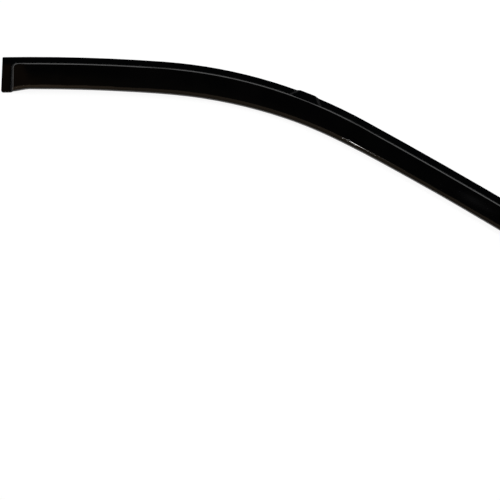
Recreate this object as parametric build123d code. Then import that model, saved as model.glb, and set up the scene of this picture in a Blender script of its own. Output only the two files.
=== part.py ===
from build123d import *
import os
from math import cos, degrees, radians, sin, tan

# Window rain deflector for a front car door, lying face up on its mounting flange.
# Lengths are in millimetres and angles in degrees. X runs to the front of the car, Y to its
# roof and Z away from the door. The sheet is formed as a closed pan in a flat plate, and one
# outline then trims the pan to the part.

# Outer edge of the flange, three tangent arcs from the rear corner to the nose
REAR_RADIUS = 2540.0
REAR_LENGTH = 257.5
BEND_RADIUS = 703.0
BEND_LENGTH = 335.5
PILLAR_RADIUS = 7690.0
PILLAR_LENGTH = 382.0

# Width from the outer edge to the lower edge, and the stretch over which it narrows
REAR_WIDTH = 62.4
FRONT_WIDTH = 52.0
NARROWING_START = 250.0
NARROWING_END = 780.0

# Sheet, flange and the wall that steps up from it
SHEET_THICKNESS = 2.5
FLANGE_WIDTH = 11.5
REAR_FLANGE_WIDTH = 15.2
NOSE_FLANGE_WIDTH = 11.5
WALL_DRAFT = 32.0
WALL_FOOT_RADIUS = 3.0
WALL_CORNER_RADIUS = 9.0

# Hood above the wall, and the lip that its lower edge turns down to
SHOULDER_HEIGHT = 10.0
SHOULDER_RADIUS = 4.0
CROWN_SLOPE = 15.0
CROWN_RADIUS = 300.0
END_RISE_SHARE = 0.1
REAR_RAMP_LENGTH = 34.0
NOSE_RAMP_LENGTH = 58.0
LIP_RADIUS = 5.0
LIP_ANGLE = 45.0
LIP_REACH = 3.0

# Trimmed outline
REAR_CORNER_RADIUS = 1.5
LEG_CORNER_RADIUS = 3.5
NOSE_TOP_RADIUS = 18.0
NOSE_LOWER_RADIUS = 8.0
EDGE_ROUNDING = 0.5

# Raised stretch of the flange
JOGGLE_START = 475.0
JOGGLE_LENGTH = 37.0
JOGGLE_RISE = 3.6
JOGGLE_REAR_SPREAD = 10.0
JOGGLE_FRONT_SPREAD = 10.5
JOGGLE_DRAFT = 52.0

# Bonding tape and its release liner, on the back of the flange
TAPE_WIDTH = 8.0
TAPE_THICKNESS = 1.1
TAPE_MARGIN = 1.0
TAPE_REAR_GAP = 2.0
TAPE_NOSE_GAP = 17.0
TAPE_JOGGLE_GAP = 6.0
LEG_TAPE_TOP_GAP = 2.0
LEG_TAPE_LOWER_GAP = 6.0
LINER_THICKNESS = 0.15
LINER_OVERLAP = 0.3

RUNS = (
    (REAR_RADIUS, REAR_LENGTH),
    (BEND_RADIUS, BEND_LENGTH),
    (PILLAR_RADIUS, PILLAR_LENGTH),
)
EDGE_LENGTH = REAR_LENGTH + BEND_LENGTH + PILLAR_LENGTH
FLANGE_BACK = LINER_THICKNESS + TAPE_THICKNESS
FLANGE_TOP = FLANGE_BACK + SHEET_THICKNESS

# How far the pan is formed past the trimmed part, and the sections that shape its hood
FORMING_MARGIN = 30.0
RAMP_SECTION_COUNT = 7
HOOD_SECTION_COUNT = 16
LOWER_EDGE_POINT_COUNT = 14
SECTION_MARGIN = 8.0


def rail(distance):
    """Three arcs parallel to the flange's outer edge, a distance inside it."""
    point = Vector(0, -distance)
    heading = Vector(1, 0)
    arcs = []
    for radius, length in RUNS:
        arc = JernArc(point, heading, radius - distance, -degrees(length / radius))
        arcs.append(arc)
        point = arc @ 1
        heading = arc % 1
    return arcs


OUTER_EDGE = Wire([edge for arc in rail(0) for edge in arc.edges()])


def cross_plane(station):
    """Plane across the part at a station on the outer edge: x runs inward, y runs up."""
    heading = OUTER_EDGE.tangent_at(station / EDGE_LENGTH)
    inward = Vector(heading.Y, -heading.X)
    origin = OUTER_EDGE.position_at(station / EDGE_LENGTH)
    return Plane(origin, x_dir=inward, z_dir=inward.cross(Vector(0, 0, 1)))


def ease(share):
    """Smooth step from 0 to 1."""
    share = min(1.0, max(0.0, share))
    return share * share * (3 - 2 * share)


def width(station):
    narrowed = ease((station - NARROWING_START) / (NARROWING_END - NARROWING_START))
    return REAR_WIDTH - (REAR_WIDTH - FRONT_WIDTH) * narrowed


def crown_height(station, inward):
    """Height of the hood before its lip; towards both ends little of its rise is left."""
    wall_inset = (SHOULDER_HEIGHT - FLANGE_TOP) * tan(radians(WALL_DRAFT))
    reach = inward - FLANGE_WIDTH - wall_inset
    rise = reach * tan(radians(CROWN_SLOPE)) - reach**2 / (2 * CROWN_RADIUS)
    from_rear = (station - REAR_FLANGE_WIDTH) / REAR_RAMP_LENGTH
    from_nose = (EDGE_LENGTH - NOSE_FLANGE_WIDTH - station) / NOSE_RAMP_LENGTH
    share = END_RISE_SHARE + (1 - END_RISE_SHARE) * ease(from_rear) * ease(from_nose)
    return SHOULDER_HEIGHT + rise * share


def crown_section(station, depth):
    """Section of the hood and its lip, drawn a depth inside the outer skin."""
    apex = width(station) - LIP_REACH
    apex_height = crown_height(station, apex)
    floor = -FORMING_MARGIN
    toe = apex + (apex_height - floor) / tan(radians(LIP_ANGLE))
    outer_top = (0, crown_height(station, 0))
    middle_top = (apex / 2, crown_height(station, apex / 2))
    outline = make_face([
        Line((0, floor), outer_top),
        ThreePointArc(outer_top, middle_top, (apex, apex_height)),
        Line((apex, apex_height), (toe, floor)),
        Line((toe, floor), (0, floor)),
    ])
    lip = outline.vertices().sort_by_distance((apex, apex_height))[0]
    outline = fillet(lip, LIP_RADIUS)
    if depth:
        outline = offset(outline, -depth, kind=Kind.INTERSECTION)
    return cross_plane(station) * outline


def wall_outline(level, depth):
    """Plan of the drafted walls around the pan at one level, a depth inside the outer skin."""
    inset = (level - FLANGE_TOP) * tan(radians(WALL_DRAFT)) + depth / cos(radians(WALL_DRAFT))
    reach = REAR_WIDTH + 2 * FORMING_MARGIN
    arcs = rail(FLANGE_WIDTH + inset)
    start = arcs[0] @ 0
    end = arcs[-1] @ 1
    far_end = cross_plane(EDGE_LENGTH).from_local_coords((reach, 0))
    band = make_face([
        Line((0, -reach), far_end),
        Line(far_end, end),
        *reversed(arcs),
        Line(start, (0, -reach)),
    ])
    rear = Pos(REAR_FLANGE_WIDTH + inset, 0) * Rectangle(
        EDGE_LENGTH, 4 * EDGE_LENGTH, align=(Align.MIN, Align.CENTER)
    )
    heading = OUTER_EDGE.tangent_at(1)
    nose_frame = Location(Plane(OUTER_EDGE @ 1, x_dir=heading, z_dir=(0, 0, 1)))
    front = nose_frame * Pos(-NOSE_FLANGE_WIDTH - inset, 0) * Rectangle(
        EDGE_LENGTH, 4 * EDGE_LENGTH, align=(Align.MAX, Align.CENTER)
    )
    return Pos(0, 0, level) * (band & rear & front)


def plan_point(station, inward):
    return cross_plane(station).from_local_coords((inward, 0))


def spread(start, end, count):
    """Evenly spaced values from start to end."""
    return [start + (end - start) * step / (count - 1) for step in range(count)]


def section_stations():
    """Stations of the hood's sections, closer together along the ramps at both ends."""
    hood_start = REAR_FLANGE_WIDTH + REAR_RAMP_LENGTH + SECTION_MARGIN
    hood_end = EDGE_LENGTH - NOSE_FLANGE_WIDTH - NOSE_RAMP_LENGTH - SECTION_MARGIN
    rear = spread(0, hood_start, RAMP_SECTION_COUNT)
    hood = spread(hood_start, hood_end, HOOD_SECTION_COUNT)
    nose = spread(hood_end, EDGE_LENGTH, RAMP_SECTION_COUNT)
    return rear[:-1] + hood + nose[1:]


def wall_block(depth):
    """Block inside the drafted walls, tall enough for the hood."""
    base = FLANGE_BACK - depth
    return extrude(wall_outline(base, depth), amount=FORMING_MARGIN, taper=WALL_DRAFT)


def shared_edges(faces, others):
    """Edges that lie between two groups of faces."""
    other_edges = [edge for face in others for edge in face.edges()]
    edges = [edge for face in faces for edge in face.edges()]
    return [edge for edge in edges if any(edge.is_same(other) for other in other_edges)]


def wall_faces(block):
    """Faces of the drafted walls: those along the rails, and those across both ends."""
    sides = list(block.faces().filter_by(GeomType.CONE))
    flat = block.faces().filter_by(GeomType.PLANE)
    ends = [face for face in flat if abs(face.normal_at().Z) < 0.9]
    return sides, ends


def pan(depth):
    """The formed pan as a solid, a depth inside the outer skin, its corners and shoulder rounded."""
    hood = loft([crown_section(station, depth) for station in section_stations()])
    block = hood & wall_block(depth)
    sides, ends = wall_faces(block)
    block = fillet(shared_edges(sides, ends), WALL_CORNER_RADIUS - depth)
    sides, ends = wall_faces(block)
    crown = block.faces().filter_by(GeomType.BSPLINE).sort_by(SortBy.AREA)[-1]
    return fillet(shared_edges([crown], sides + ends), SHOULDER_RADIUS - depth)


def foot_edges(body, level):
    """Edges where the pan leaves the flat plate at one level."""
    holed = [face for face in body.faces().filter_by(GeomType.PLANE) if face.inner_wires()]
    plate_face = min(holed, key=lambda face: abs(face.center().Z - level))
    return plate_face.inner_wires()[0].edges()


def joggle_block(inset):
    """Drafted block of the raised stretch, its sides moved in along the flange by an inset."""
    start = JOGGLE_START + inset
    end = JOGGLE_START + JOGGLE_LENGTH - inset
    outside = -FORMING_MARGIN / 2
    slope_rear = JOGGLE_REAR_SPREAD / FLANGE_WIDTH
    slope_front = JOGGLE_FRONT_SPREAD / FLANGE_WIDTH
    inside = FLANGE_WIDTH + 4 * SHEET_THICKNESS
    outline = Polygon(
        plan_point(start - slope_rear * outside, outside),
        plan_point(start - slope_rear * inside, inside),
        plan_point(end + slope_front * inside, inside),
        plan_point(end + slope_front * outside, outside),
        align=None,
    )
    return extrude(outline, amount=JOGGLE_RISE, taper=JOGGLE_DRAFT)


def trim_outline():
    """Plan outline that trims the formed sheet."""
    lower_points = [
        plan_point(station, width(station)) for station in spread(0, EDGE_LENGTH, LOWER_EDGE_POINT_COUNT)
    ]
    leg_end = lower_points[0]
    outline = make_face([
        Line((0, 0), leg_end),
        Spline(lower_points),
        Line(lower_points[-1], OUTER_EDGE @ 1),
        *reversed(rail(0)),
    ])
    for corner, radius in (
        ((0, 0), REAR_CORNER_RADIUS),
        (leg_end, LEG_CORNER_RADIUS),
        (lower_points[-1], NOSE_LOWER_RADIUS),
        (OUTER_EDGE @ 1, NOSE_TOP_RADIUS),
    ):
        outline = fillet(outline.vertices().sort_by_distance(corner)[0], radius)
    return outline


def upper_trim_edges(sheet):
    """Edges along the top of the upright trimmed faces, but for the joggle's two short slopes."""
    edges = []
    for face in sheet.faces():
        if abs(face.normal_at().Z) > 0.001:
            continue
        for edge in face.edges():
            if edge.geom_type == GeomType.ELLIPSE or abs(edge.tangent_at(0.5).Z) > 0.98:
                continue
            below = edge.position_at(0.5) - Vector(0, 0, SHEET_THICKNESS / 8)
            if face.distance_to(below) < 0.02:
                edges.append(edge)
    return edges


def visor_shield():
    """One sheet: plate and pan, hollowed from behind, raised at the joggle and trimmed."""
    size = OUTER_EDGE.bounding_box().size
    plate = Pos(0, FORMING_MARGIN, FLANGE_BACK) * Box(
        size.X + 2 * FORMING_MARGIN,
        size.Y + REAR_WIDTH + 4 * FORMING_MARGIN,
        SHEET_THICKNESS,
        align=(Align.MIN, Align.MAX, Align.MIN),
    )
    plate = Pos(-FORMING_MARGIN, 0, 0) * plate
    sheet = plate + pan(0)
    sheet = fillet(foot_edges(sheet, FLANGE_TOP), WALL_FOOT_RADIUS)
    raised = Pos(0, 0, FLANGE_TOP) * joggle_block(0)
    sheet = sheet + raised
    sheet = sheet - pan(SHEET_THICKNESS)
    sheet = fillet(foot_edges(sheet, FLANGE_BACK), WALL_FOOT_RADIUS + SHEET_THICKNESS)
    draft = radians(JOGGLE_DRAFT)
    pocket_inset = SHEET_THICKNESS * (1 - sin(draft)) / cos(draft)
    sheet = sheet - Pos(0, 0, FLANGE_BACK) * joggle_block(pocket_inset)
    sheet = sheet & extrude(trim_outline(), amount=2 * FORMING_MARGIN)
    return fillet(upper_trim_edges(sheet), EDGE_ROUNDING)


def run_strip(start, end, growth):
    """Strip along the flange between two stations, grown on all sides by an amount."""
    outer = rail(TAPE_MARGIN - growth)
    inner = rail(TAPE_MARGIN + TAPE_WIDTH + growth)
    band = make_face([
        Line(outer[0] @ 0, inner[0] @ 0),
        *inner,
        Line(inner[-1] @ 1, outer[-1] @ 1),
        *reversed(outer),
    ])
    reach = EDGE_LENGTH / 8
    sector = Polygon(
        plan_point(start - growth, -reach),
        plan_point(start - growth, reach),
        plan_point(end + growth, reach),
        plan_point(end + growth, -reach),
        align=None,
    )
    return band & sector


def leg_strip(growth):
    """Strip down the leg, below the strip along the flange."""
    top = TAPE_MARGIN + TAPE_WIDTH + LEG_TAPE_TOP_GAP
    length = REAR_WIDTH - LEG_TAPE_LOWER_GAP - top
    corner = Pos(TAPE_MARGIN - growth, -top + growth)
    return corner * Rectangle(
        TAPE_WIDTH + 2 * growth, length + 2 * growth, align=(Align.MIN, Align.MAX)
    )


def strips(growth):
    """Plan of each strip of tape, or of its liner when grown by the overlap."""
    joggle_foot = JOGGLE_START - JOGGLE_REAR_SPREAD - TAPE_JOGGLE_GAP
    joggle_head = JOGGLE_START + JOGGLE_LENGTH + JOGGLE_FRONT_SPREAD + TAPE_JOGGLE_GAP
    return {
        "rear_run": run_strip(TAPE_REAR_GAP, joggle_foot, growth),
        "front_run": run_strip(joggle_head, EDGE_LENGTH - TAPE_NOSE_GAP, growth),
        "leg": leg_strip(growth),
    }


def build_nodes():
    nodes = {"visor_shield": visor_shield()}
    for name, outline in strips(0).items():
        nodes["tape_" + name] = Pos(0, 0, LINER_THICKNESS) * extrude(outline, amount=TAPE_THICKNESS)
    for name, outline in strips(LINER_OVERLAP).items():
        nodes["liner_" + name] = extrude(outline, amount=LINER_THICKNESS)
    return nodes


nodes = build_nodes()
box = Compound(list(nodes.values())).bounding_box()
to_origin = Pos(-box.center().X, -box.center().Y, -box.min.Z)
os.makedirs("parts", exist_ok=True)
for name, solid in nodes.items():
    export_step(to_origin * solid, f"parts/{name}.step")
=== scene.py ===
from math import radians

import bpy
from mathutils import Matrix, Vector

# Looks of a window rain deflector of smoked acrylic, lying face up on a white table.
# Lengths are in metres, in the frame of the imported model: east is +X, north is +Y and up is +Z.

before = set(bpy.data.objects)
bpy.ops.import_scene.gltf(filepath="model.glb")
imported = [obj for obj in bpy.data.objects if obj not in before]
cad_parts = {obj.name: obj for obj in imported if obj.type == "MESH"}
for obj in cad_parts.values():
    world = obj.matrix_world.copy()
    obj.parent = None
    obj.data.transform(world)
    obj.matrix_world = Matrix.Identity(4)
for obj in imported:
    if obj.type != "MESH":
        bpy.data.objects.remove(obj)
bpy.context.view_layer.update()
scene = bpy.context.scene
scene.view_settings.view_transform = "Standard"

# Levels at the start and the end of a smooth change
RISE = (0.0, 1.0)
FALL = (1.0, 0.0)

# Camera, fitted to the edges in the photograph
CAMERA_PLACE = (-0.1243, -0.7775, 1.6956)
CAMERA_TILT = 20.537
CAMERA_YAW = -6.18
CAMERA_ROLL = 4.50
CAMERA_LENS = 86.4
CAMERA_SENSOR = 36.0
CAMERA_CLIP = (0.01, 60.0)

# Table: lit grey, which keeps the shadow, under a white glow that grows with the distance from the middle
FLOOR_SIZE = 16.0
FLOOR_DROP = 0.0003
FLOOR_GREY = (0.16, 0.16, 0.16, 1.0)
FLOOR_DISTANCE = (0.8, 2.4)
FLOOR_GLOW = (0.90, 1.0)
FLOOR_BOUNCE = 0.40

# Studio, by the upward part of a direction: white at the horizon and dark overhead
STUDIO_UP = (0.06, 0.24)
STUDIO_LEVEL = (1.0, 0.0096)
WHITE = (1.0, 1.0, 1.0, 1.0)

# Round lamps that point at the object, with powers in watts
LAMPS = {
    "key_lamp": {"place": (1.7, -0.9, 1.9), "power": 30.0, "size": 1.0, "mirrored": True},
    "fill_lamp": {"place": (1.6, 1.2, 1.6), "power": 18.0, "size": 1.0, "mirrored": False},
    "west_lamp": {"place": (-1.8, 0.3, 1.7), "power": 26.0, "size": 1.0, "mirrored": False},
    "glint_lamp": {"place": (1.28, 1.46, 1.58), "power": 0.004, "size": 0.10, "mirrored": True},
}

# Narrow lamp over the bend, whose mirror image is the streak at the top of the lip
STREAK_TARGET = (0.1056, 0.0225, 0.0173)
STREAK_PLACE = (0.1236, 0.1388, 0.6095)
STREAK_LONG_SIDE = (-0.188, -0.287, -0.001)
STREAK_LENGTH = 0.12
STREAK_WIDTH = 0.015
STREAK_POWER = 0.29

# Facing, a number that is near 0 on top of the hood and grows where the lip turns down:
# the lip faces south at the rear and turns to the west along the bend
FACING_NORTH = -0.92
FACING_EAST = (-0.05, -0.55)
BEND_ALONG = (-0.25, 0.12)

# Zones of the acrylic, each as the start and the end of a smooth change
REAR_ALONG = (-0.40, -0.22)
FLANGE_HEIGHT = (0.0078, 0.0092)
LEG_ALONG = (-0.426, -0.424)
LEG_ACROSS = (0.172, 0.180)
# Facings where the face's painted warm light comes in; faces turned further north stay black
PAINTED_LIGHT_FACING = (-0.20, -0.11)
# Facings where the lip's painted sheen starts, and where it turns under to its dimmer part
LIP_FACING = (-0.07, 0.10)
UNDER_FACING = (0.52, 0.74)
SATIN_UP = (0.82, 0.97)

# Ends of the lip, where its painted sheen starts at a higher facing
LIP_REAR_ALONG = (-0.30, -0.05)
LIP_REAR_LAG = (-0.15, 0.0)
LIP_FRONT_ALONG = (0.14, 0.22)
LIP_FRONT_LAG = (0.0, -0.13)

# Slopes of the flange's raised stretch, shaded more gently than they are
RAISED_REAR = (0.006, 0.010)
RAISED_FRONT = (0.074, 0.078)
SLOPE_UP = (0.68, 0.76)
SLOPE_EASE = 1.0

# Colours of the acrylic
FACE_BLACK = (0.0003, 0.0003, 0.0004, 1.0)
# Painted warm light on the faces that do not turn north, stronger at the rear
FACE_PAINTED_LIGHT = (0.0016, 0.0014, 0.0012, 1.0)
FACE_PAINTED_LIGHT_REAR = (0.0036, 0.0024, 0.0015, 1.0)
FLANGE_BLUE = (0.0004, 0.0006, 0.0009, 1.0)
LEG_WARM = (0.0035, 0.0020, 0.0012, 1.0)
HAZE = (0.0020, 0.0018, 0.0016, 1.0)
# Painted sheen of the lip: a brighter warm band where its fillet would mirror light, dimmer where it turns
# under, with other levels at the rear
LIP_PAINTED_SHEEN = (0.0150, 0.0115, 0.0083, 1.0)
LIP_PAINTED_SHEEN_REAR = (0.0260, 0.0190, 0.0130, 1.0)
LIP_UNDER_PAINTED_SHEEN = (0.0125, 0.0096, 0.0070, 1.0)
LIP_UNDER_PAINTED_SHEEN_REAR = (0.0080, 0.0060, 0.0040, 1.0)

# Gloss and relief of the acrylic: broad clouds, long waves and fine grain
ACRYLIC_IOR = 1.49
CLOUD_SCALE = 22.0
CLOUD_DETAIL = 3.0
CLOUD_RANGE = (0.3, 0.7)
CLOUD_ROUGHNESS = (0.10, 0.15)
HAZE_CLOUD = (0.35, 0.75)
HAZE_SHARE = (0.0, 0.3)
LIP_GLOSS = 0.05
SATIN_ROUGHNESS = 0.55
SLOPE_GLOSS = 0.20
WAVE_SCALE = 9.0
WAVE_DETAIL = 1.0
WAVE_HEIGHT = 0.0002
GRAIN_SCALE = 900.0
GRAIN_DETAIL = 4.0
GRAIN_HEIGHT = 0.000004
RELIEF_STRENGTH = 0.2

# Foam tape
TAPE_DARK = (0.018, 0.018, 0.019, 1.0)
TAPE_PALE = (0.035, 0.035, 0.036, 1.0)
TAPE_ROUGHNESS = 0.85
TAPE_CLOUD_SCALE = 60.0
CELL_SCALE = 2600.0
CELL_HEIGHT = 0.0001
CELL_STRENGTH = 0.6

# Release film
LINER_DARK = (0.46, 0.030, 0.026, 1.0)
LINER_PALE = (0.60, 0.048, 0.040, 1.0)
LINER_ROUGHNESS = (0.30, 0.42)
LINER_CLOUD_SCALE = 40.0
EMBOSS_SCALE = 500.0
EMBOSS_DETAIL = 2.0
EMBOSS_HEIGHT = 0.0001
EMBOSS_STRENGTH = 0.3


class Nodes:
    """Adds nodes to one node tree and joins their sockets."""

    def __init__(self, tree):
        self.tree = tree
        tree.nodes.clear()

    def add(self, kind, inputs=None, **settings):
        node = self.tree.nodes.new(kind)
        for name, value in settings.items():
            setattr(node, name, value)
        for socket, value in (inputs or {}).items():
            if isinstance(value, bpy.types.NodeSocket):
                self.tree.links.new(value, node.inputs[socket])
            else:
                node.inputs[socket].default_value = value
        return node

    def math(self, operation, first, second=0.0, third=0.0):
        node = self.add("ShaderNodeMath", {0: first, 1: second, 2: third}, operation=operation)
        return node.outputs[0]

    def vector_math(self, operation, first, second=(0.0, 0.0, 0.0)):
        node = self.add("ShaderNodeVectorMath", {0: first, 1: second}, operation=operation)
        return node.outputs["Vector"]

    def band(self, value, span, levels=RISE):
        """Smooth change from one level to another while a value passes a span."""
        inputs = {
            "Value": value,
            "From Min": span[0],
            "From Max": span[1],
            "To Min": levels[0],
            "To Max": levels[1],
        }
        node = self.add("ShaderNodeMapRange", inputs, interpolation_type="SMOOTHSTEP")
        return node.outputs["Result"]

    def split(self, vector):
        """The three parts of a vector."""
        return self.add("ShaderNodeSeparateXYZ", {0: vector}).outputs[:]

    def mix(self, share, first, second):
        """Colour that goes from the first to the second, by the colour sockets of the node."""
        node = self.add("ShaderNodeMix", {0: share, 6: first, 7: second}, data_type="RGBA")
        return node.outputs[2]

    def place(self):
        return self.add("ShaderNodeTexCoord").outputs["Object"]

    def noise(self, place, scale, detail):
        inputs = {"Vector": place, "Scale": scale, "Detail": detail}
        return self.add("ShaderNodeTexNoise", inputs).outputs["Fac"]

    def bump(self, height, distance, strength, under=None):
        inputs = {"Height": height, "Distance": distance, "Strength": strength}
        if under is not None:
            inputs["Normal"] = under
        return self.add("ShaderNodeBump", inputs).outputs["Normal"]

    def any_ray(self, *kinds):
        """1 for a ray of any of these kinds, else 0."""
        rays = self.add("ShaderNodeLightPath").outputs
        share = rays[kinds[0]]
        for kind in kinds[1:]:
            share = self.math("MAXIMUM", share, rays[kind])
        return share

    def surface(self, shader, kind="ShaderNodeOutputMaterial"):
        self.add(kind, {"Surface": shader.outputs[0]})


def new_material(name):
    material = bpy.data.materials.new(name)
    material.use_nodes = True
    return material, Nodes(material.node_tree)


def add_camera():
    data = bpy.data.cameras.new("camera")
    data.lens = CAMERA_LENS
    data.sensor_width = CAMERA_SENSOR
    data.clip_start, data.clip_end = CAMERA_CLIP
    camera = bpy.data.objects.new("camera", data)
    scene.collection.objects.link(camera)
    turn = (
        Matrix.Rotation(radians(CAMERA_YAW), 4, "Z")
        @ Matrix.Rotation(radians(CAMERA_TILT), 4, "X")
        @ Matrix.Rotation(radians(CAMERA_ROLL), 4, "Z")
    )
    camera.matrix_world = Matrix.Translation(CAMERA_PLACE) @ turn
    scene.camera = camera


def table_glow(nodes):
    """Strength of the white glow: full for camera, glossy and transmission rays, lower for diffuse ones."""
    seen = nodes.any_ray("Is Camera Ray", "Is Glossy Ray", "Is Transmission Ray")
    length = nodes.add("ShaderNodeVectorMath", {0: nodes.place()}, operation="LENGTH")
    glow = nodes.band(length.outputs["Value"], FLOOR_DISTANCE, FLOOR_GLOW)
    bounced = nodes.math("MULTIPLY", nodes.any_ray("Is Diffuse Ray"), FLOOR_BOUNCE)
    return nodes.math("MAXIMUM", nodes.math("MULTIPLY", seen, glow), bounced)


def add_floor():
    """White table, clear when it is seen from below."""
    half = FLOOR_SIZE / 2
    mesh = bpy.data.meshes.new("table")
    corners = [(-half, -half, 0), (half, -half, 0), (half, half, 0), (-half, half, 0)]
    mesh.from_pydata(corners, [], [(0, 1, 2, 3)])
    floor = bpy.data.objects.new("table", mesh)
    floor.location.z = -FLOOR_DROP
    scene.collection.objects.link(floor)
    material, nodes = new_material("white_table")
    grey = nodes.add("ShaderNodeBsdfDiffuse", {"Color": FLOOR_GREY})
    glow = nodes.add("ShaderNodeEmission", {"Strength": table_glow(nodes)})
    lit = nodes.add("ShaderNodeAddShader", {0: grey.outputs[0], 1: glow.outputs[0]})
    clear = nodes.add("ShaderNodeBsdfTransparent")
    back = nodes.add("ShaderNodeNewGeometry").outputs["Backfacing"]
    nodes.surface(nodes.add("ShaderNodeMixShader", {0: back, 1: lit.outputs[0], 2: clear.outputs[0]}))
    mesh.materials.append(material)


def add_world():
    """White horizon and dark ceiling, with white for what is seen through the table's clear back."""
    world = bpy.data.worlds.new("studio")
    world.use_nodes = True
    scene.world = world
    nodes = Nodes(world.node_tree)
    direction = nodes.add("ShaderNodeTexCoord").outputs["Generated"]
    level = nodes.band(nodes.split(direction)[2], STUDIO_UP, STUDIO_LEVEL)
    seen = nodes.any_ray("Is Camera Ray", "Is Transmission Ray")
    crossed = nodes.add("ShaderNodeLightPath").outputs["Transparent Depth"]
    strength = nodes.math("MAXIMUM", level, nodes.math("MULTIPLY", seen, crossed))
    sky = nodes.add("ShaderNodeBackground", {"Color": WHITE, "Strength": strength})
    nodes.surface(sky, "ShaderNodeOutputWorld")


def add_lamp(name, place, power, size, mirrored):
    """Round soft lamp that points at the object, and that may be left out of its mirror images."""
    data = bpy.data.lights.new(name, "AREA")
    data.shape = "DISK"
    data.size = size
    data.energy = power
    lamp = bpy.data.objects.new(name, data)
    lamp.location = place
    lamp.rotation_mode = "QUATERNION"
    lamp.rotation_quaternion = (-Vector(place)).to_track_quat("-Z", "Y")
    lamp.visible_glossy = mirrored
    scene.collection.objects.link(lamp)


def add_streak_lamp():
    data = bpy.data.lights.new("streak_lamp", "AREA")
    data.shape = "RECTANGLE"
    data.size = STREAK_WIDTH
    data.size_y = STREAK_LENGTH
    data.energy = STREAK_POWER
    lamp = bpy.data.objects.new("streak_lamp", data)
    lamp.visible_camera = False
    away = (Vector(STREAK_PLACE) - Vector(STREAK_TARGET)).normalized()
    long_side = Vector(STREAK_LONG_SIDE)
    long_side = (long_side - long_side.dot(away) * away).normalized()
    turn = Matrix((long_side.cross(away), long_side, away)).transposed().to_4x4()
    lamp.matrix_world = Matrix.Translation(STREAK_PLACE) @ turn
    scene.collection.objects.link(lamp)


class AcrylicZones:
    """Shares from 0 to 1 that tell the acrylic's zones apart by place, height and facing."""

    def __init__(self, nodes):
        self.place = nodes.place()
        self.normal = nodes.add("ShaderNodeNewGeometry").outputs["Normal"]
        self.cloud = nodes.noise(self.place, CLOUD_SCALE, CLOUD_DETAIL)
        east, north, up = nodes.split(self.normal)
        along, across, height = nodes.split(self.place)

        turned = nodes.math("MULTIPLY", east, nodes.band(along, BEND_ALONG, FACING_EAST))
        facing = nodes.math("MULTIPLY_ADD", north, FACING_NORTH, turned)
        lip_facing = nodes.math("ADD", facing, nodes.band(along, LIP_REAR_ALONG, LIP_REAR_LAG))
        lip_facing = nodes.math("ADD", lip_facing, nodes.band(along, LIP_FRONT_ALONG, LIP_FRONT_LAG))

        self.rear = nodes.band(along, REAR_ALONG, FALL)
        self.flange = nodes.band(height, FLANGE_HEIGHT, FALL)
        hood = nodes.math("SUBTRACT", 1.0, self.flange)
        west_end = nodes.band(along, LEG_ALONG, FALL)
        self.leg = nodes.math("MULTIPLY", west_end, nodes.band(across, LEG_ACROSS, FALL))
        # Where the face shows painted warm light
        self.painted_light = nodes.band(facing, PAINTED_LIGHT_FACING)
        # Masks of the lip's painted sheen: its dimmer turned-under part and the whole lip
        self.under = nodes.band(facing, UNDER_FACING)
        self.lip = nodes.math("MULTIPLY", nodes.band(lip_facing, LIP_FACING), hood)

        self.satin = nodes.math("MULTIPLY", nodes.band(up, SATIN_UP, FALL), self.flange)
        past_rear = nodes.band(along, RAISED_REAR)
        before_front = nodes.band(along, RAISED_FRONT, FALL)
        slope = nodes.math("MULTIPLY", self.satin, nodes.band(up, SLOPE_UP))
        self.slope = nodes.math("MULTIPLY", slope, nodes.math("MULTIPLY", past_rear, before_front))


def acrylic_colour(nodes, zones):
    """Near black, bluish on the flange and brownish on the leg, with painted warm light on the face and a
    painted sheen on the lip.
    """
    # Painted warm light on the face, stronger at the rear, black where it turns north
    painted_light = nodes.mix(zones.rear, FACE_PAINTED_LIGHT, FACE_PAINTED_LIGHT_REAR)
    face = nodes.mix(zones.painted_light, FACE_BLACK, painted_light)
    face = nodes.mix(zones.flange, face, nodes.mix(zones.leg, FLANGE_BLUE, LEG_WARM))
    face = nodes.mix(nodes.band(zones.cloud, HAZE_CLOUD, HAZE_SHARE), face, HAZE)
    # Painted sheen on the lip, with other levels at the rear
    lip_sheen = nodes.mix(zones.rear, LIP_PAINTED_SHEEN, LIP_PAINTED_SHEEN_REAR)
    under = nodes.mix(zones.rear, LIP_UNDER_PAINTED_SHEEN, LIP_UNDER_PAINTED_SHEEN_REAR)
    return nodes.mix(zones.lip, face, nodes.mix(zones.under, lip_sheen, under))


def acrylic_roughness(nodes, zones):
    """Gloss with faint clouds, glossier on the lip and satin on the low slopes and cut edges."""
    roughness = nodes.band(zones.cloud, CLOUD_RANGE, CLOUD_ROUGHNESS)
    roughness = nodes.math("MULTIPLY_ADD", zones.lip, -LIP_GLOSS, roughness)
    roughness = nodes.math("MULTIPLY_ADD", zones.satin, SATIN_ROUGHNESS, roughness)
    return nodes.math("MULTIPLY_ADD", zones.slope, -SLOPE_GLOSS, roughness)


def acrylic_relief(nodes, zones):
    """Eased slopes, then the long waves and fine grain of a formed sheet."""
    lift = nodes.math("MULTIPLY", zones.slope, SLOPE_EASE)
    upward = nodes.add("ShaderNodeCombineXYZ", {"Z": lift}).outputs[0]
    eased = nodes.vector_math("NORMALIZE", nodes.vector_math("ADD", zones.normal, upward))
    wave = nodes.noise(zones.place, WAVE_SCALE, WAVE_DETAIL)
    waved = nodes.bump(wave, WAVE_HEIGHT, RELIEF_STRENGTH, eased)
    grain = nodes.noise(zones.place, GRAIN_SCALE, GRAIN_DETAIL)
    return nodes.bump(grain, GRAIN_HEIGHT, RELIEF_STRENGTH, waved)


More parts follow.
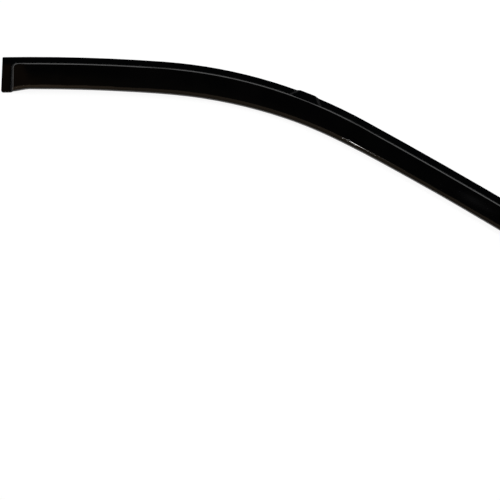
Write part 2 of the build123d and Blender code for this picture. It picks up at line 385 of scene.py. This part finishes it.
def acrylic_material():
    """Glossy smoked acrylic of the shield."""
    material, nodes = new_material("smoked_acrylic")
    zones = AcrylicZones(nodes)
    inputs = {
        "Base Color": acrylic_colour(nodes, zones),
        "Roughness": acrylic_roughness(nodes, zones),
        "IOR": ACRYLIC_IOR,
        "Normal": acrylic_relief(nodes, zones),
    }
    nodes.surface(nodes.add("ShaderNodeBsdfPrincipled", inputs))
    return material


def tape_material():
    """Black closed-cell foam tape."""
    material, nodes = new_material("foam_tape")
    place = nodes.place()
    cloud = nodes.noise(place, TAPE_CLOUD_SCALE, CLOUD_DETAIL)
    cells = nodes.add("ShaderNodeTexVoronoi", {"Vector": place, "Scale": CELL_SCALE}).outputs["Distance"]
    inputs = {
        "Base Color": nodes.mix(cloud, TAPE_DARK, TAPE_PALE),
        "Roughness": TAPE_ROUGHNESS,
        "Normal": nodes.bump(cells, CELL_HEIGHT, CELL_STRENGTH),
    }
    nodes.surface(nodes.add("ShaderNodeBsdfPrincipled", inputs))
    return material


def liner_material():
    """Red release film with a faint embossed grain."""
    material, nodes = new_material("liner_film")
    place = nodes.place()
    cloud = nodes.noise(place, LINER_CLOUD_SCALE, CLOUD_DETAIL)
    emboss = nodes.noise(place, EMBOSS_SCALE, EMBOSS_DETAIL)
    inputs = {
        "Base Color": nodes.mix(cloud, LINER_DARK, LINER_PALE),
        "Roughness": nodes.band(cloud, CLOUD_RANGE, LINER_ROUGHNESS),
        "Normal": nodes.bump(emboss, EMBOSS_HEIGHT, EMBOSS_STRENGTH),
    }
    nodes.surface(nodes.add("ShaderNodeBsdfPrincipled", inputs))
    return material


def dress_nodes():
    """Gives each solid the material that its name starts with."""
    looks = {"visor": acrylic_material(), "tape": tape_material(), "liner": liner_material()}
    for name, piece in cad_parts.items():
        piece.data.materials.clear()
        piece.data.materials.append(looks[name.split("_")[0]])


add_camera()
add_floor()
add_world()
for lamp_name, lamp_values in LAMPS.items():
    add_lamp(lamp_name, **lamp_values)
add_streak_lamp()
dress_nodes()
